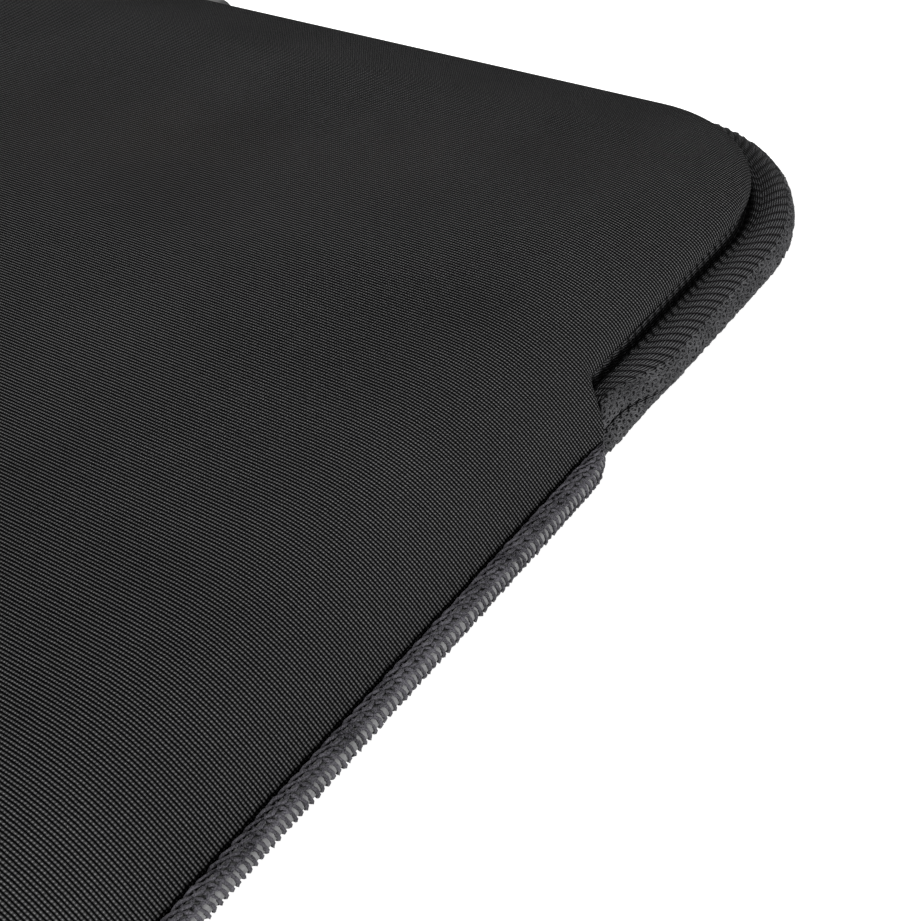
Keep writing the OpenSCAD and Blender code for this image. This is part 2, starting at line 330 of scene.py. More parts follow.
def make_tape(name, dark, bright):
    material, tree, shader = new_material(name, 0.65, 0.0, 0.04)
    across, along = map_parts(tree, "cloth")
    yarns = wave(tree, across, YARN)
    step = maths(tree, "MULTIPLY", maths(tree, "FLOOR", maths(tree, "DIVIDE", across, YARN)), YARN)
    slant = maths(tree, "MULTIPLY", maths(tree, "ABSOLUTE", step), SLANT)
    dip = wave(tree, maths(tree, "SUBTRACT", along, slant), RIB, math.pi)
    floats = maths(tree, "SUBTRACT", 1.0, maths(tree, "POWER", dip, 3.0), clamp=True)
    picks = maths(tree, "MULTIPLY_ADD", wave(tree, along, PICK), 0.25, 0.75)
    fuzz = maths(tree, "MULTIPLY_ADD", noise(tree, object_place(tree), 0.25 * MM), 0.6, 0.7)
    height = maths(tree, "MULTIPLY", maths(tree, "MULTIPLY", yarns, picks), floats)
    # Colour follows the relief: painted highlight on the floats and painted shade in the dips
    # between yarns.
    tone = maths(tree, "MULTIPLY", maths(tree, "POWER", height, 1.3), fuzz)
    tree.links.new(colour_ramp(tree, tone, (0, dark), (1, bright)), shader.inputs["Base Color"])
    bump(tree, shader, height, WEAVE_RISE)
    return material


zip_weave = make_tape("woven zip tape", (0.0012, 0.0012, 0.0013), (0.125, 0.125, 0.129))
print("herringbone: one rib in", RIB, "m, one yarn in", YARN, "m")


# %% [markdown]
# Sewing thread is a bundle of crimped filaments. A fine noise along the thread breaks up its
# colour, and its soft sheen catches the light on the outside of each loop. The binding is
# brushed cloth, which needs the same treatment in a darker colour.

# %% Thread
def make_thread(name, dark, bright):
    material, tree, shader = new_material(name, 0.65, sheen=0.1, shine=0.05)
    strands = noise(tree, object_place(tree), 0.16 * MM, 3.0)
    uneven = noise(tree, object_place(tree), 4 * MM, 2.0)
    tone = maths(tree, "MULTIPLY_ADD", uneven, 0.35, maths(tree, "MULTIPLY", strands, 0.75))
    colour = colour_ramp(tree, tone, (0.38, dark), (0.72, bright))
    tree.links.new(colour, shader.inputs["Base Color"])
    bump(tree, shader, strands, 0.05 * MM)
    return material


overlock_thread = make_thread("overlock thread", (0.005, 0.0047, 0.006), (0.112, 0.108, 0.122))
zip_thread = make_thread("zip sewing thread", (0.010, 0.010, 0.011), (0.100, 0.100, 0.104))
binding_cloth = make_thread("binding cloth", (0.010, 0.010, 0.011), (0.045, 0.045, 0.047))


# %% [markdown]
# The coil is drawn nylon and the sliders are painted zinc. Both are smooth and dark. A faint
# noise in the roughness keeps the paint from looking like glass.

# %% Coil and sliders
def make_smooth(name, colour, worn_colour, low, high):
    material, tree, shader = new_material(name, 0.4, 0.0, 0.5)
    rub = noise(tree, object_place(tree), 1.5 * MM, 4.0)
    fine = noise(tree, object_place(tree), 0.2 * MM, 2.0)
    tree.links.new(colour_ramp(tree, rub, (0.35, colour), (0.75, worn_colour)),
                   shader.inputs["Base Color"])
    tree.links.new(maths(tree, "MULTIPLY_ADD", rub, high - low, low), shader.inputs["Roughness"])
    bump(tree, shader, fine, 0.01 * MM)
    return material


coil_nylon = make_smooth("coil nylon", (0.012, 0.012, 0.013), (0.022, 0.022, 0.023), 0.35, 0.55)
slider_paint = make_smooth("slider paint", (0.014, 0.014, 0.015), (0.035, 0.035, 0.036), 0.2, 0.45)
print(len(bpy.data.materials), "materials")

# %% [markdown]
# ## The padded panels
# Each panel is one sheet of foam with a knitted face. It lies nearly flat in the middle and
# falls away in a soft shoulder. Along the pocket the shoulder runs down into the seam. Along
# the mouth it stops short, and the cloth rolls round the edge of the foam, over the zip.
# A profile of the rim is drawn round the panel with extrude and spin, the flat field closes the
# middle, and one rule for the height then shapes both, so they meet without a step.

# %% Height of the padded face
seam_rise = 1.2 * MM             # the face above the middle, at the needle line
edge_rise = 8.2 * MM             # the face above the middle, at the panel edge over the zip
roll_r = 1.7 * MM                # roll of the cloth round the edge of the foam
wall_t = 4.5 * MM                # face, foam and lining together
puff = 1.2 * MM                  # how far the padding swells the middle of the panel
seam_shoulder = 25.5 * MM        # width of the shoulder along the pocket
mouth_shoulder = 20.5 * MM       # width of the shoulder along the mouth
far_w = 62 * MM                  # width over which the field falls slowly towards an edge
side_fall = 1.2 * MM             # depth of that slow fall at the sides and the bottom
mouth_fall = 3.9 * MM            # and at the mouth
tape_top = 3.9 * MM              # top of the zip tape, above the middle
step_low = split_y - 1.2 * MM    # between these two the edge steps inwards
step_high = split_y + 5 * MM


def in_mouth(y):
    """0 in the pocket and 1 in the mouth; the edge steps inwards between them."""
    return smooth_step(step_low, step_high, y)


def mouth_share(y):
    """0 where the seam shapes the shoulder and 1 where the zip does."""
    return smooth_step(split_y, mouth_y + 12 * MM, y)


def far_drop(x, y):
    """The slow fall of the field towards the edges, deepest towards the mouth."""
    side = side_fall * fade(seam_x - abs(x), far_w, 2)
    mouth = mouth_fall * fade(edge_y + inset - y, far_w, 2)
    bottom = side_fall * fade(y - seam_y, far_w, 2)
    return math.sqrt(side ** 2 + mouth ** 2 + bottom ** 2)


def face_level(x, y, needle_distance):
    far = far_drop(x, y)
    full = mid_z + puff - far
    sewn = (full - seam_rise) * fade(needle_distance, seam_shoulder, 3.2)
    rolled = (full - edge_rise) * fade(needle_distance - inset, mouth_shoulder, 1.8)
    share = mouth_share(y)
    return full - (1 - share) * sewn - share * rolled


def rim_radius(reach, y):
    return reach * (seam_r - in_mouth(y) * inset)


def panel_level(x, y, reach, ply):
    """Height above the middle. reach runs from a corner's centre, 0, to the edge, 1, and ply
    from the face, 0, to the inside, 1."""
    mouth = in_mouth(y)
    needle_distance = seam_r - rim_radius(reach, y)
    face = face_level(x, y, needle_distance)
    lift = max(0, roll_r - mouth_r * (1 - reach))
    roll = mouth * (roll_r - math.sqrt(max(0, roll_r ** 2 - lift ** 2)))
    lowest = 0.05 * MM + mouth * (tape_top + 0.1 * MM)
    slope = (face_level(x, y, needle_distance + MM) - face) / MM
    under = max(lowest, face - wall_t * math.hypot(1, slope))
    return max(lowest, (face - roll) * (1 - ply) + under * ply)


print("face above the middle, in the centre:", face_level(0, 0, seam_r))

# %% [markdown]
# The rim is drawn flat at first. Every point of it remembers two things: its reach, from the
# corner's centre out to the edge, and its ply, on the face or on the inside. The height rule
# needs no more than that. The steps are closest at the edge and at the notch beside the zip,
# where the shape turns fastest.

# %% Draw the rim and the field
RIM_STOPS = [0, 0.16, 0.3, 0.42, 0.52, 0.61, 0.69, 0.76, 0.82, 0.87, 0.91, 0.94, 0.96, 0.975,
             0.985, 0.993, 1]
TURN_IN = [(0.99, 0.35), (0.965, 0.7), (0.93, 1)]    # reach and ply where the edge turns inwards
INSIDE_STOPS = len(RIM_STOPS) - 6                    # the inside leaves the last stops out
FIELD_STEPS = 48
SIDE_STEPS = 40
NOTCH_STEPS = 36
FLANK_STEPS = 14
POCKET_BEND_STEPS = 18
MOUTH_BEND_STEPS = 24
notch_low = split_y - 5 * MM
notch_high = split_y + 9 * MM


def draw_straight(bm, chain, move, steps):
    for _ in range(steps):
        new = bmesh.ops.extrude_edge_only(bm, edges=chain)["geom"]
        bmesh.ops.translate(bm, verts=of_type(new, bmesh.types.BMVert), vec=move / steps)
        chain = of_type(new, bmesh.types.BMEdge)
    return chain


def draw_bend(bm, chain, centre, steps):
    corners = list({v for e in chain for v in e.verts})
    spun = bmesh.ops.spin(bm, geom=chain + corners, cent=centre, axis=(0, 0, 1),
                          angle=math.pi / 2, steps=steps)
    return of_type(spun["geom_last"], bmesh.types.BMEdge)


def chain_of(bm, points):
    corners = [bm.verts.new(p) for p in points]
    return [bm.edges.new(pair) for pair in zip(corners, corners[1:])]


def draw_side(bm, chain):
    """From the bottom corner up to the mouth's corner, with small steps at the notch."""
    chain = draw_straight(bm, chain, Vector((0, notch_low - pocket_y, 0)), SIDE_STEPS)
    chain = draw_straight(bm, chain, Vector((0, notch_high - notch_low, 0)), NOTCH_STEPS)
    return draw_straight(bm, chain, Vector((0, mouth_y - notch_high, 0)), FLANK_STEPS)


def draw_rim(bm, reach, ply):
    """The rim's profile goes out over the face, round the edge and back along the inside."""
    stops = [(r, 0) for r in RIM_STOPS] + TURN_IN
    stops += [(r, 1) for r in reversed(RIM_STOPS[:INSIDE_STOPS])]
    chain = chain_of(bm, [(0, pocket_y - seam_r * r, 0) for r, _ in stops])
    for corner, (r, p) in zip(bm.verts[:], stops):
        corner[reach] = r
        corner[ply] = p
    chain = draw_straight(bm, chain, Vector((corner_x, 0, 0)), FIELD_STEPS)
    chain = draw_bend(bm, chain, (corner_x, pocket_y, 0), POCKET_BEND_STEPS)
    chain = draw_side(bm, chain)
    chain = draw_bend(bm, chain, (corner_x, mouth_y, 0), MOUTH_BEND_STEPS)
    draw_straight(bm, chain, Vector((-corner_x, 0, 0)), FIELD_STEPS)


def draw_field(bm, ply, side):
    """The flat middle of the panel: side is 0 for the face and 1 for the inside."""
    before = set(bm.verts)
    chain = chain_of(bm, [(corner_x * i / FIELD_STEPS, pocket_y, 0)
                          for i in range(FIELD_STEPS + 1)])
    draw_side(bm, chain)
    for corner in set(bm.verts) - before:
        corner[ply] = side


# %% [markdown]
# Cloth that goes over a shoulder is longer than its shadow. The UV map holds that real length, so
# the loops of the knit keep their size down to the seam instead of stretching there.

# %% Lay the cloth of a panel out flat
CLOTH_STEPS = 14
unsewn = 9 * MM                  # keeps the pucker of the seam away from the mouth


def anchor_of(x, y):
    """The nearest point of the field, and the outward direction from it."""
    anchor = Vector((min(x, corner_x), min(max(y, pocket_y), mouth_y)))
    outward = Vector((x, y)) - anchor
    if outward.length < 0.001 * MM:
        return anchor, Vector((0, 0))
    return anchor, outward.normalized()


def cloth_length(anchor, outward, reach, y):
    """Length of cloth over the shoulder, from the field out to a rim point."""
    length = 0
    last = panel_level(anchor.x, anchor.y, 0, 0)
    for step in range(1, CLOTH_STEPS + 1):
        part = reach * step / CLOTH_STEPS
        spot = anchor + outward * rim_radius(part, y)
        level = panel_level(spot.x, spot.y, part, 0)
        length += math.hypot(rim_radius(reach, y) / CLOTH_STEPS, level - last)
        last = level
    return length


def along_seam(x, y):
    """Place along the seam of the point nearest to (x, y)."""
    side = split_y - pocket_y
    if y > pocket_y:
        return split_y - y
    if x < corner_x:
        return side + seam_r * math.pi / 2 + corner_x - x
    return side + seam_r * math.atan2(pocket_y - y, x - corner_x)


def lay_cloth(bm, reach, ply):
    cloth = bm.loops.layers.uv.new("cloth")
    seam = bm.loops.layers.uv.new("seam")
    lengths = {}
    for corner in bm.verts:
        x, y = corner.co.x, corner.co.y
        anchor, outward = anchor_of(abs(x), y)
        place = (round(abs(x), 7), round(y, 7), corner[reach])
        if place not in lengths:
            lengths[place] = cloth_length(anchor, outward, corner[reach], y)
        over = lengths[place] + corner[ply] * wall_t
        spot = anchor + outward * over
        spot.x = math.copysign(spot.x, x)
        needle = seam_r - rim_radius(corner[reach], y) + in_mouth(y) * unsewn
        for loop in corner.link_loops:
            loop[cloth].uv = spot
            loop[seam].uv = (needle, along_seam(abs(x), y))


# %% [markdown]
# The drawn half is shaped, closed in the middle and mirrored. The back panel is the same panel
# turned over, pressed flat where it lies on the table.

# %% Shape the two panels
def padded_panel(name, upper, *materials):
    bm = bmesh.new()
    reach = bm.verts.layers.float.new("reach")
    ply = bm.verts.layers.float.new("ply")
    draw_rim(bm, reach, ply)
    draw_field(bm, ply, 0)
    draw_field(bm, ply, 1)
    for corner in bm.verts:
        x, y, r = corner.co.x, corner.co.y, corner[reach]
        anchor, outward = anchor_of(x, y)
        spot = anchor + outward * rim_radius(r, y)
        corner.co = (spot.x, spot.y, panel_level(spot.x, spot.y, r, corner[ply]))
    for side in (0, 1):
        inner = [v for v in bm.verts if v[ply] == side and v[reach] == 0]
        bmesh.ops.remove_doubles(bm, verts=inner, dist=0.01 * MM)
    bmesh.ops.mirror(bm, geom=bm.verts[:] + bm.edges[:] + bm.faces[:], axis="X",
                     matrix=Matrix.Identity(4), merge_dist=0.01 * MM)
    bmesh.ops.recalc_face_normals(bm, faces=bm.faces[:])
    lay_cloth(bm, reach, ply)
    for face in bm.faces:
        face.material_index = 1 if all(v[ply] > 0.9 for v in face.verts) else 0
    if not upper:
        bmesh.ops.scale(bm, verts=bm.verts[:], vec=(1, 1, -1))
        bmesh.ops.reverse_faces(bm, faces=bm.faces[:])
    bmesh.ops.translate(bm, verts=bm.verts[:], vec=(0, 0, mid_z))
    for corner in bm.verts:
        corner.co.z = max(0, corner.co.z)
    return finish_piece(name, bm, *materials)


front = padded_panel("front_panel", True, face_knit, lining_knit)
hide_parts("front_face", "front_foam", "front_lining", "flap_face", "flap_foam", "flap_lining")
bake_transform(front)

back = padded_panel("back_panel", False, face_knit, lining_knit)
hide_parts("back_face", "back_foam", "back_lining")
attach(back, "base")

# %% [markdown]
# ## The zip
# Two tapes run round the mouth. The upper one comes out from under the front panel, lies flat,
# rolls over the coil and meets the lower one in a groove. Towards the ends of the zip the groove
# climbs and turns in to the seam, so the lower tape comes into view there.
# A tape is woven flat, so it starts as a flat grid. Each point of it is then laid on the
# tape's cross section, and the section is carried along the edge of the mouth.

# %% The two cross sections of the tapes
SECTION_STEPS = 40
ROLL_STEPS = 16                  # round the roll of the upper tape
FALL_STEPS = 14                  # down the curve of the lower tape
tape_level = 3.95                # face of the flat tape, above or below the middle, in mm


def toward_end(past_split):
    """0 along the mouth and 1 where the zip ends."""
    return 1 - smooth_step(3 * MM, 17 * MM, past_split)


def groove_at(end):
    """Where the tapes meet: (out from the panel edge, above the middle)."""
    return Vector((5.9 - 2.0 * end, -0.95 + 2.15 * end)) * MM


def upper_section(end):
    """From under the panel out to the groove: (out from the panel edge, above the middle)."""
    groove = groove_at(end) / MM
    centre = Vector((groove.x - 3.0, groove.y + 1.6))
    points = []
    for i in range(24):
        out = -5 + i * (centre.x + 5) / 24
        pulled_in = 1.3 * math.exp(-((out + 0.75) / 0.6) ** 2)
        points.append(Vector((out, tape_level - pulled_in)))
    for step in range(ROLL_STEPS + 1):
        angle = math.radians(90 - 90 * step / ROLL_STEPS)
        across, up = 3.35 * math.cos(angle), (tape_level - centre.y) * math.sin(angle)
        points.append(centre + Vector((across, up)))
    last = points[-1]
    middle = Vector((last.x + 0.02, groove.y + 0.7))
    points += [last.lerp(middle, 0.6), middle, middle.lerp(groove, 0.6), groove]
    return [p * MM for p in points]


def lower_section(end):
    """From the groove down one smooth curve and in, under the panel."""
    groove = groove_at(end) / MM
    stops = (groove, groove + Vector((-0.5 + 2.4 * end, -0.6 + 0.35 * end)),
             Vector((4.9 + 1.7 * end, -2.6)), Vector((2.0, -tape_level)))
    points = []
    for step in range(FALL_STEPS + 1):
        t = step / FALL_STEPS
        points.append(stops[0] * (1 - t) ** 3 + stops[1] * 3 * t * (1 - t) ** 2
                      + stops[2] * 3 * t * t * (1 - t) + stops[3] * t ** 3)
    points += [Vector((2.0 - i * 7 / 10, -tape_level)) for i in range(1, 11)]
    return [p * MM for p in reversed(points)]


def measured(section):
    """A section with the length of tape up to each of its points."""
    lengths = [0]
    for a, b in zip(section, section[1:]):
        lengths.append(lengths[-1] + (b - a).length)
    return section, lengths


upper_sections = [measured(upper_section(i / SECTION_STEPS)) for i in range(SECTION_STEPS + 1)]
lower_sections = [measured(lower_section(i / SECTION_STEPS)) for i in range(SECTION_STEPS + 1)]
print("tape width:", upper_sections[0][1][-1], "at the zip's end:", upper_sections[-1][1][-1])


# %% [markdown]
# A point of the tape is known by its place along the zip and by its distance from the groove. It is
# laid by measuring that distance along the cross section, so the tape is bent and never stretched.

# %% Lay a point of a tape on the sleeve
upper_start = split_y - 2 * MM
lower_start = split_y - 4.5 * MM


def above_split(s, start_y):
    return start_y + min(s, line_length(mouth_y - start_y, mouth_r) - s) - split_y


def on_section(sections, s, start_y, from_groove):
    """The place and the outward normal at a distance of tape from the groove."""
    end = toward_end(above_split(s, start_y))
    points, lengths = sections[round(end * SECTION_STEPS)]
    place = max(0, lengths[-1] - from_groove)
    i = 1
    while i < len(points) - 1 and lengths[i] < place:
        i += 1
    way = points[i] - points[i - 1]
    spot = points[i - 1] + way * ((place - lengths[i - 1]) / (lengths[i] - lengths[i - 1]))
    return spot, Vector((-way.y, way.x)).normalized()


def tape_point(upper, s, from_groove, lift):
    """A point of a tape, lifted off it. Where the zip ends the upper tape sinks and the lower
    one draws in."""
    sections = upper_sections if upper else lower_sections
    start_y = upper_start if upper else lower_start
    spot, normal = on_section(sections, s, start_y, from_groove)
    spot = spot + normal * (lift if upper else -lift)
    past_split = above_split(s, start_y)
    if upper:
        share = min(1, from_groove / (4 * MM))
        spot.y -= 2.5 * MM * share * (1 - smooth_step(-1.5 * MM, 4 * MM, past_split))
    else:
        spot.x -= 1.6 * MM * (1 - smooth_step(-5 * MM, 0, past_split))
    return mouth_point(s, spot.x, spot.y, start_y)


def tape_length(upper):
    return line_length(mouth_y - (upper_start if upper else lower_start), mouth_r)


print("tape along the mouth:", tape_length(True), "and", tape_length(False))

# %% [markdown]
# The weave's colour, with its painted highlight on the floats and painted shade in the dips, and
# its finest relief are in its material. Its ribs are deep enough to show in the outline, so they
# are
# modelled: the grid is pressed in between one rib and the next. The tape gets its thickness while
# it is still flat, before it is laid.

# %% Weave the tapes
middle_row = 8.05 * MM           # from the groove to the middle row of the herringbone
sewn_w = 4.3 * MM                # width of tape that the coil is sewn to
rib_depth = 0.2 * MM
tape_t = 0.5 * MM
TAPE_STEP = 0.4 * MM             # along the tape, short enough for the ribs
TAPE_ROWS = 38


def rib_height(s, from_groove):
    """The relief of the ribs: rounded, with a narrow groove between one and the next."""
    across = from_groove - middle_row
    place = (s - abs(across) * SLANT) / RIB
    valley = math.cos(math.pi * place) ** 8
    strength = smooth_step(sewn_w - 0.3 * MM, sewn_w + 0.5 * MM, from_groove)
    return -rib_depth * valley * strength


def zip_tape(name, upper, material):
    bm = bmesh.new()
    length = tape_length(upper)
    width = (upper_sections if upper else lower_sections)[0][1][-1]
    cloth = bm.loops.layers.uv.new("cloth")
    bmesh.ops.create_grid(bm, x_segments=round(length / TAPE_STEP), y_segments=TAPE_ROWS, size=0.5)
    under = bmesh.ops.extrude_face_region(bm, geom=bm.faces[:], use_keep_orig=True)["geom"]
    bmesh.ops.translate(bm, verts=of_type(under, bmesh.types.BMVert), vec=(0, 0, -tape_t))
    spots = {}
    for corner in bm.verts:
        s = (corner.co.x + 0.5) * length
        from_groove = (corner.co.y + 0.5) * width
        relief = 0 if corner.co.z < 0 else rib_height(s, from_groove)
        spots[corner] = (from_groove - middle_row, s)
        corner.co = tape_point(upper, s, from_groove, corner.co.z + relief)
    for corner, spot in spots.items():
        for loop in corner.link_loops:
            loop[cloth].uv = spot
    bmesh.ops.recalc_face_normals(bm, faces=bm.faces[:])
    return finish_piece(name, bm, material)


upper_tape = zip_tape("upper_zip_tape", True, zip_weave)
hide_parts("upper_tape")
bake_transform(upper_tape)
lower_tape = zip_tape("lower_zip_tape", False, zip_weave)
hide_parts("lower_tape")
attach(lower_tape, "base")

# %% [markdown]
# The coil is sewn to the tape with a looped chain stitch, in two rows of small rings. One ring
# of thread is spun, repeated along the tape, and laid on it with the same rule as the weave.

# %% Sew the coil to the tapes
THREAD_SIDES = 5                 # few faces, because a ring is repeated hundreds of times
RING_STEPS = 7


def lay_on_tape(bm, upper):
    for corner in bm.verts:
        corner.co = tape_point(upper, corner.co.x, corner.co.y, corner.co.z)


def add_ring(bm, s, from_groove, long, wide, thread_r, tilt):
    """A flat ring of thread, laid at a place of the tape and turned by a tilt."""
    circle = bmesh.ops.create_circle(bm, segments=THREAD_SIDES, radius=thread_r)
    corners = circle["verts"]
    edges = list({e for v in corners for e in v.link_edges})
    bmesh.ops.rotate(bm, verts=corners, cent=(0, 0, 0), matrix=Matrix.Rotation(math.pi / 2, 3, "X"))
    bmesh.ops.translate(bm, verts=corners, vec=(MM, 0, 0))
    before = set(bm.verts) - set(corners)
    bmesh.ops.spin(bm, geom=corners + edges, cent=(0, 0, 0), axis=(0, 0, 1),
                   angle=2 * math.pi, steps=RING_STEPS, use_merge=True)
    ring = [v for v in bm.verts if v not in before]
    for corner in ring:
        radial = Vector((corner.co.x, corner.co.y, 0))
        centre_line = radial.normalized() * MM
        off = corner.co - centre_line
        place = Vector((centre_line.x * long / 2, centre_line.y * wide / 2, 0)) / MM
        corner.co = place + off
    bmesh.ops.rotate(bm, verts=ring, cent=(0, 0, 0), matrix=Matrix.Rotation(tilt, 3, "Z"))
    bmesh.ops.translate(bm, verts=ring, vec=(s, from_groove, 0.06 * MM))


def repeat_along(bm, count, pitch):
    """Doubles the row until it is long enough, then takes the surplus off."""
    made = 1
    while made < count:
        row = bm.verts[:] + bm.edges[:] + bm.faces[:]
        copy = bmesh.ops.duplicate(bm, geom=row)["geom"]
        bmesh.ops.translate(bm, verts=of_type(copy, bmesh.types.BMVert), vec=(made * pitch, 0, 0))
        made *= 2
    surplus = [v for v in bm.verts if v.co.x > (count + 0.5) * pitch]
    loose = {f for v in surplus for f in v.link_faces}
    bmesh.ops.delete(bm, geom=list({v for f in loose for v in f.verts}), context="VERTS")


def unsettle(bm, size, amount):
    """Moves every point a little, so that no two stitches are quite alike."""
    for corner in bm.verts:
        corner.co += noise_vector(corner.co / size) * amount


# Each ring: place along and across the tape, length and width in mm, and tilt.
SEWING = [(0.45, 0.9, 1.3, 0.7, 0.5), (1.30, 1.35, 1.25, 0.75, -0.5), (0.45, 1.95, 1.3, 0.7, 0.9),
          (1.30, 2.45, 1.2, 0.75, -0.3), (0.50, 3.0, 1.3, 0.7, 0.6), (1.35, 3.5, 1.1, 0.7, -0.6)]


def tape_sewing(name, upper, material):
    bm = bmesh.new()
    for s, from_groove, long, wide, tilt in SEWING:
        add_ring(bm, s * MM, from_groove * MM, long * MM, wide * MM, 0.17 * MM, tilt)
    count = int(tape_length(upper) / RIB) - 1
    repeat_along(bm, count, RIB)
    unsettle(bm, 0.9 * MM, 0.20 * MM)
    lay_on_tape(bm, upper)
    bmesh.ops.recalc_face_normals(bm, faces=bm.faces[:])
    piece = finish_piece(name, bm, material)
    return piece


upper_sewing = tape_sewing("upper_coil_sewing", True, zip_thread)
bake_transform(upper_sewing)
lower_sewing = tape_sewing("lower_coil_sewing", False, zip_thread)
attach(lower_sewing, "base")

# %% [markdown]
# ## The overlocked seam
# The two panels are sewn face to face and their raw edges are wrapped in thread. The edges
# themselves are a narrow lip. Over it lie the stitches: at the needle line each stitch holds the
# cloth down with a slanted strand, a looped strand joins it to the next stitch, and other
# strands run over the edge to the back. One stitch is modelled and repeated round the seam.

# %% The raw edges inside the seam
lip_start = split_y - 1 * MM
lip_length = line_length(lip_start - pocket_y, seam_r)
lip_middle = 1.75                # from the needle line to the middle of the lip, in mm
lip_half_w = 1.2
lip_half_t = 1.05
LIP_STEP = 1.6 * MM
TAPER_W = 7.6 * MM               # length of seam over which the lip grows to its full width


def taper(s):
    """The lip starts narrow at the end of the zip and soon reaches its full width."""
    grown = min(1, max(0, min(s, lip_length - s)) / TAPER_W)
    return 1 - (1 - grown) ** 2


def lip_point(s, out, rise):
    """A point over the lip, drawn in where the lip is narrow."""
    width = taper(s)
    return seam_point(s, out * width, rise * (0.35 + 0.65 * width), lip_start)


def lay_on_seam(bm):
    for corner in bm.verts:
        s = min(lip_length, max(0, corner.co.x))
        corner.co = lip_point(s, corner.co.y, corner.co.z)


def squared(value):
    """Squares a circle's coordinate up a little, so that the lip has flat sides."""
    return math.copysign(abs(value) ** 0.6, value)


def lip(name, material):
    bm = bmesh.new()
    bmesh.ops.create_circle(bm, segments=14, radius=1)
    for corner in bm.verts:
        x, y = corner.co.x, corner.co.y
        corner.co = (0, (lip_middle + lip_half_w * squared(x)) * MM, lip_half_t * squared(y) * MM)
    draw_straight(bm, bm.edges[:], Vector((lip_length, 0, 0)), round(lip_length / LIP_STEP))
    bmesh.ops.holes_fill(bm, edges=[e for e in bm.edges if e.is_boundary], sides=0)
    lay_on_seam(bm)
    bmesh.ops.recalc_face_normals(bm, faces=bm.faces[:])
    return finish_piece(name, bm, material)


# %% [markdown]
# One stitch takes seven strands of thread. Each is a thin tube along a route of a few points, with
# few sides, because the stitch is repeated hundreds of times. A little noise then moves every
# point, so that no two stitches are alike.

# %% One stitch, repeated round the seam
def draw_thread(bm, route, thread_r, sides=THREAD_SIDES):
    """A tube of thread through the points of its route, given in millimetres."""
    spots = [Vector(p) * MM for p in route]
    last = None
    for i, spot in enumerate(spots):
        ahead = spots[min(i + 1, len(spots) - 1)] - spots[max(i - 1, 0)]
        turn = ahead.to_track_quat("Z", "Y").to_matrix().to_4x4()
        ring = bmesh.ops.create_circle(bm, segments=sides, radius=thread_r,
                                       matrix=Matrix.Translation(spot) @ turn)["verts"]
        edges = list({e for v in ring for e in v.link_edges})
        if last:
            bmesh.ops.bridge_loops(bm, edges=last + edges)
        last = edges
    bmesh.ops.holes_fill(bm, edges=[e for e in bm.edges if e.is_boundary], sides=0)


# Routes: (along the seam, out from the needle line, above the middle), in millimetres.
HOLD = [(-0.15, 0.10, 0.60), (0.15, 0.50, 1.40), (0.80, 0.85, 1.78), (1.60, 1.20, 1.78),
        (2.30, 1.35, 1.35)]
CROSS = [(0.55, 0.55, 1.10), (0.80, 0.90, 1.55), (0.55, 1.45, 1.75), (0.05, 1.75, 1.45)]
LOOP = [(0.10, 1.20, 1.45), (0.45, 1.60, 1.88), (1.05, 2.05, 1.88), (1.70, 1.85, 1.80),
        (1.55, 1.40, 1.55)]
OVER_ONE = [(0.10, 1.75, 1.55), (0.40, 2.40, 1.70), (0.70, 2.85, 1.20), (0.95, 3.05, 0.30),
            (1.10, 3.00, -0.70), (1.30, 2.50, -1.60), (1.70, 1.40, -1.75)]
OVER_TWO = [(1.05, 1.90, 1.55), (1.35, 2.50, 1.62), (1.65, 2.90, 1.00), (1.90, 3.05, 0.00),
            (2.10, 2.90, -0.90), (2.25, 2.30, -1.65), (2.40, 0.90, -1.60)]
EDGE = [(-0.05, 2.60, 1.50), (0.60, 2.85, 1.20), (1.30, 2.55, 1.52), (1.95, 2.70, 1.40)]
UNDER = [(0.00, -0.10, -0.95), (0.50, 0.35, -1.55), (1.40, 0.90, -1.75), (2.00, 1.30, -1.50)]
STITCH_SPAN = 2.4 * MM           # a stitch reaches a little into the next one


def overlock(name, material):
    bm = bmesh.new()
    draw_thread(bm, HOLD, 0.25 * MM)
    draw_thread(bm, CROSS, 0.18 * MM, 4)
    draw_thread(bm, LOOP, 0.21 * MM)
    draw_thread(bm, OVER_ONE, 0.26 * MM, 4)
    draw_thread(bm, OVER_TWO, 0.26 * MM, 4)
    draw_thread(bm, EDGE, 0.25 * MM, 4)
    draw_thread(bm, UNDER, 0.28 * MM, 4)
    print("one stitch:", len(bm.faces), "faces")
    # The routes are drawn leaning backwards, so the stitch is turned end for end.
    for corner in bm.verts:
        corner.co.x = STITCH_SPAN - corner.co.x
    repeat_along(bm, int(lip_length / STITCH) - 1, STITCH)
    unsettle(bm, 0.8 * MM, 0.19 * MM)
    lay_on_seam(bm)
    bmesh.ops.recalc_face_normals(bm, faces=bm.faces[:])
    return finish_piece(name, bm, material)


seam_lip = lip("seam_lip", face_knit)
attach(seam_lip, "base")
seam_stitches = overlock("seam_stitches", overlock_thread)
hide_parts("seam_overlock")
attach(seam_stitches, "base")

# %% [markdown]
# ## Inside the zip
# The coil is one nylon monofilament, wound into loops and sewn behind the tape, so it shows only
# in the groove and when the mouth is open. One loop is drawn, repeated, and laid on the line of
# the groove. The binding is a folded strip that covers the tape's sewn edge inside the mouth.

# %% Coils that follow the groove
LOOP_PITCH = 1.75 * MM
coil_start = split_y + 3 * MM
coil_depth = 1.5 * MM            # from the groove in to the middle of a loop
coil_apart = 0.42 * MM           # half the height between the two coils


def groove_point(s, out, rise, start_y):
    groove = groove_at(toward_end(above_split(s, start_y)))
    return mouth_point(s, groove.x + out, groove.y + rise, start_y)


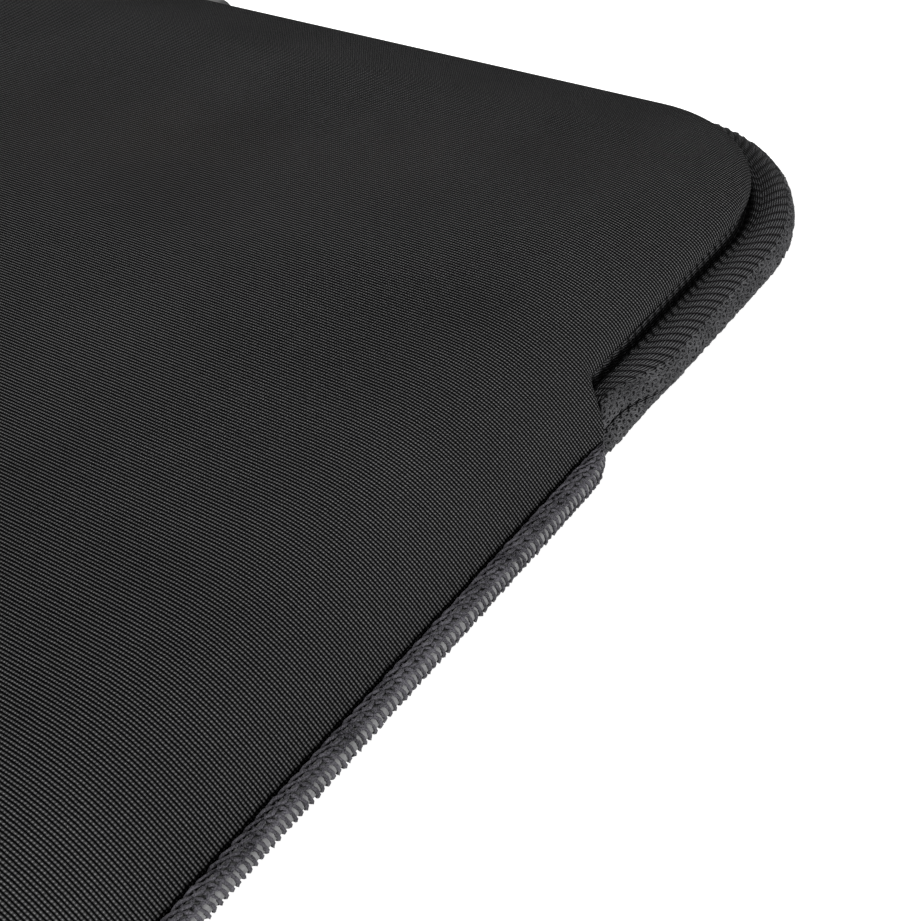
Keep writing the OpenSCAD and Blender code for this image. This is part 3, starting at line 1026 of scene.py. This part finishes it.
def coil_half(name, side, material):
    """side is 1 for the loops above the groove and -1 for the loops below it."""
    bm = bmesh.new()
    add_ring(bm, 0.5 * MM, 0, 0.9 * MM, 2.0 * MM, 0.3 * MM, 0.35)
    length = line_length(mouth_y - coil_start, mouth_r)
    repeat_along(bm, int(length / LOOP_PITCH) - 1, LOOP_PITCH)
    shift = (1 - side) / 4 * LOOP_PITCH
    for corner in bm.verts:
        s, out, rise = corner.co
        corner.co = groove_point(s + shift, out - coil_depth, rise + side * coil_apart, coil_start)
    bmesh.ops.recalc_face_normals(bm, faces=bm.faces[:])
    return finish_piece(name, bm, material)


upper_coil_loops = coil_half("upper_coil_loops", 1, coil_nylon)
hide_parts("upper_coil")
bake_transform(upper_coil_loops)
lower_coil_loops = coil_half("lower_coil_loops", -1, coil_nylon)
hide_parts("lower_coil")
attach(lower_coil_loops, "base")


# %% [markdown]
# The bindings are made flat with a slight crown, like the tapes, and laid beside the edge of the
# panel. side turns the same strip over for the lower half of the mouth.

# %% Bindings inside the mouth
binding_start = split_y - 3 * MM
binding_level = 3.3 * MM         # face of a binding's edges, just inside the tape
binding_t = 0.5 * MM
crown_h = 0.25 * MM


def binding_strip(name, side, material):
    bm = bmesh.new()
    length = line_length(mouth_y - binding_start, mouth_r)
    bmesh.ops.create_grid(bm, x_segments=round(length / (1.5 * MM)), y_segments=8, size=0.5)
    under = bmesh.ops.extrude_face_region(bm, geom=bm.faces[:], use_keep_orig=True)["geom"]
    bmesh.ops.translate(bm, verts=of_type(under, bmesh.types.BMVert), vec=(0, 0, -binding_t))
    for corner in bm.verts:
        s = (corner.co.x + 0.5) * length
        across = corner.co.y
        crown = crown_h * math.cos(math.pi * across)
        rise = side * (binding_level - crown + corner.co.z)
        corner.co = mouth_point(s, (-5.2 + 6 * across) * MM, rise, binding_start)
    bmesh.ops.recalc_face_normals(bm, faces=bm.faces[:])
    return finish_piece(name, bm, material)


upper_strip = binding_strip("upper_binding_strip", 1, binding_cloth)
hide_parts("upper_binding")
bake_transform(upper_strip)
lower_strip = binding_strip("lower_binding_strip", -1, binding_cloth)
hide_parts("lower_binding")
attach(lower_strip, "base")

# %% [markdown]
# A bar tack holds the two tapes together at each end of the zip: a few tight strands across the
# groove, partly buried in the weave. The sliders and their pullers are rigid and already have
# their real shape in the frame, so they only need paint.

# %% Bar tacks and sliders
TACK = [(0, -1.9, 1.5), (0.1, -0.9, 1.35), (0.2, -0.1, 0.75), (0.3, 0.1, 0.0), (0.4, -0.2, -0.7),
        (0.5, -1.2, -1.3)]


def bar_tacks(name, material):
    bm = bmesh.new()
    draw_thread(bm, TACK, 0.17 * MM, 4)
    repeat_along(bm, 5, 0.42 * MM)
    bmesh.ops.translate(bm, verts=bm.verts[:], vec=(0.3 * MM, 0, 0))
    for corner in bm.verts:
        corner.co = groove_point(corner.co.x, corner.co.y, corner.co.z, split_y)
    bmesh.ops.mirror(bm, geom=bm.verts[:] + bm.edges[:] + bm.faces[:], axis="X",
                     matrix=Matrix.Identity(4), merge_dist=0)
    bmesh.ops.recalc_face_normals(bm, faces=bm.faces[:])
    return finish_piece(name, bm, material)


tacks = bar_tacks("zip_end_tacks", zip_thread)
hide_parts("end_tacks")
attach(tacks, "base")
for node in ("left_slider", "right_slider", "left_puller", "right_puller"):
    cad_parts[node].data.materials.clear()
    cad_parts[node].data.materials.append(slider_paint)

# %% [markdown]
# ## Stage
# The floor and the world are white where the camera sees them, and the world also where a
# smooth surface mirrors it. For the light itself the world is a plain soft grey. A large soft box
# lights the face from the front, with a smaller one low on the seam's side.

# %% Floor and light
DAYLIGHT = 0.16                  # strength of the world as a light
FLOOR_LIFT = 0.7                 # added to the floor where the camera sees it

bm = bmesh.new()
bmesh.ops.create_grid(bm, x_segments=1, y_segments=1, size=3)
floor_paint, floor_tree, floor_shader = new_material("pale floor", 0.9)
floor_shader.inputs["Base Color"].default_value = (0.9, 0.9, 0.9, 1)
floor_shader.inputs["Emission Color"].default_value = (1, 1, 1, 1)
seen_floor = floor_tree.nodes.new("ShaderNodeLightPath").outputs["Is Camera Ray"]
floor_lift = maths(floor_tree, "MULTIPLY", seen_floor, FLOOR_LIFT)
floor_tree.links.new(floor_lift, floor_shader.inputs["Emission Strength"])
floor = finish_piece("floor", bm, floor_paint)

world = bpy.data.worlds.new("studio")
bpy.context.scene.world = world
world.use_nodes = True
tree = world.node_tree
background = tree.nodes["Background"]
rays = tree.nodes.new("ShaderNodeLightPath")
seen = maths(tree, "MAXIMUM", rays.outputs["Is Camera Ray"], rays.outputs["Is Transmission Ray"])
seen = maths(tree, "MAXIMUM", seen, rays.outputs["Is Glossy Ray"])
strength = maths(tree, "MULTIPLY_ADD", seen, 1 - DAYLIGHT, DAYLIGHT)
tree.links.new(strength, background.inputs["Strength"])
background.inputs["Color"].default_value = (1, 1, 1, 1)


def soft_box(name, place, target, width, height, power):
    data = bpy.data.lights.new(name, "AREA")
    data.shape = "RECTANGLE"
    data.size = width
    data.size_y = height
    data.energy = power
    lamp = bpy.data.objects.new(name, data)
    bpy.context.collection.objects.link(lamp)
    lamp.location = place
    lamp.rotation_euler = (Vector(target) - Vector(place)).to_track_quat("-Z", "Y").to_euler()
    return lamp


soft_box("key", (-0.45, -0.95, 0.95), (0.05, 0.0, 0), 0.8, 0.6, 22)
soft_box("side", (1.25, -0.15, 0.32), (0.15, 0.0, 0), 0.6, 0.3, 15)

print(len(bpy.data.lights), "lamps")

# %% [markdown]
# The colours are shown as they are, without a film look.

# %% View
bpy.context.scene.view_settings.view_transform = "Standard"
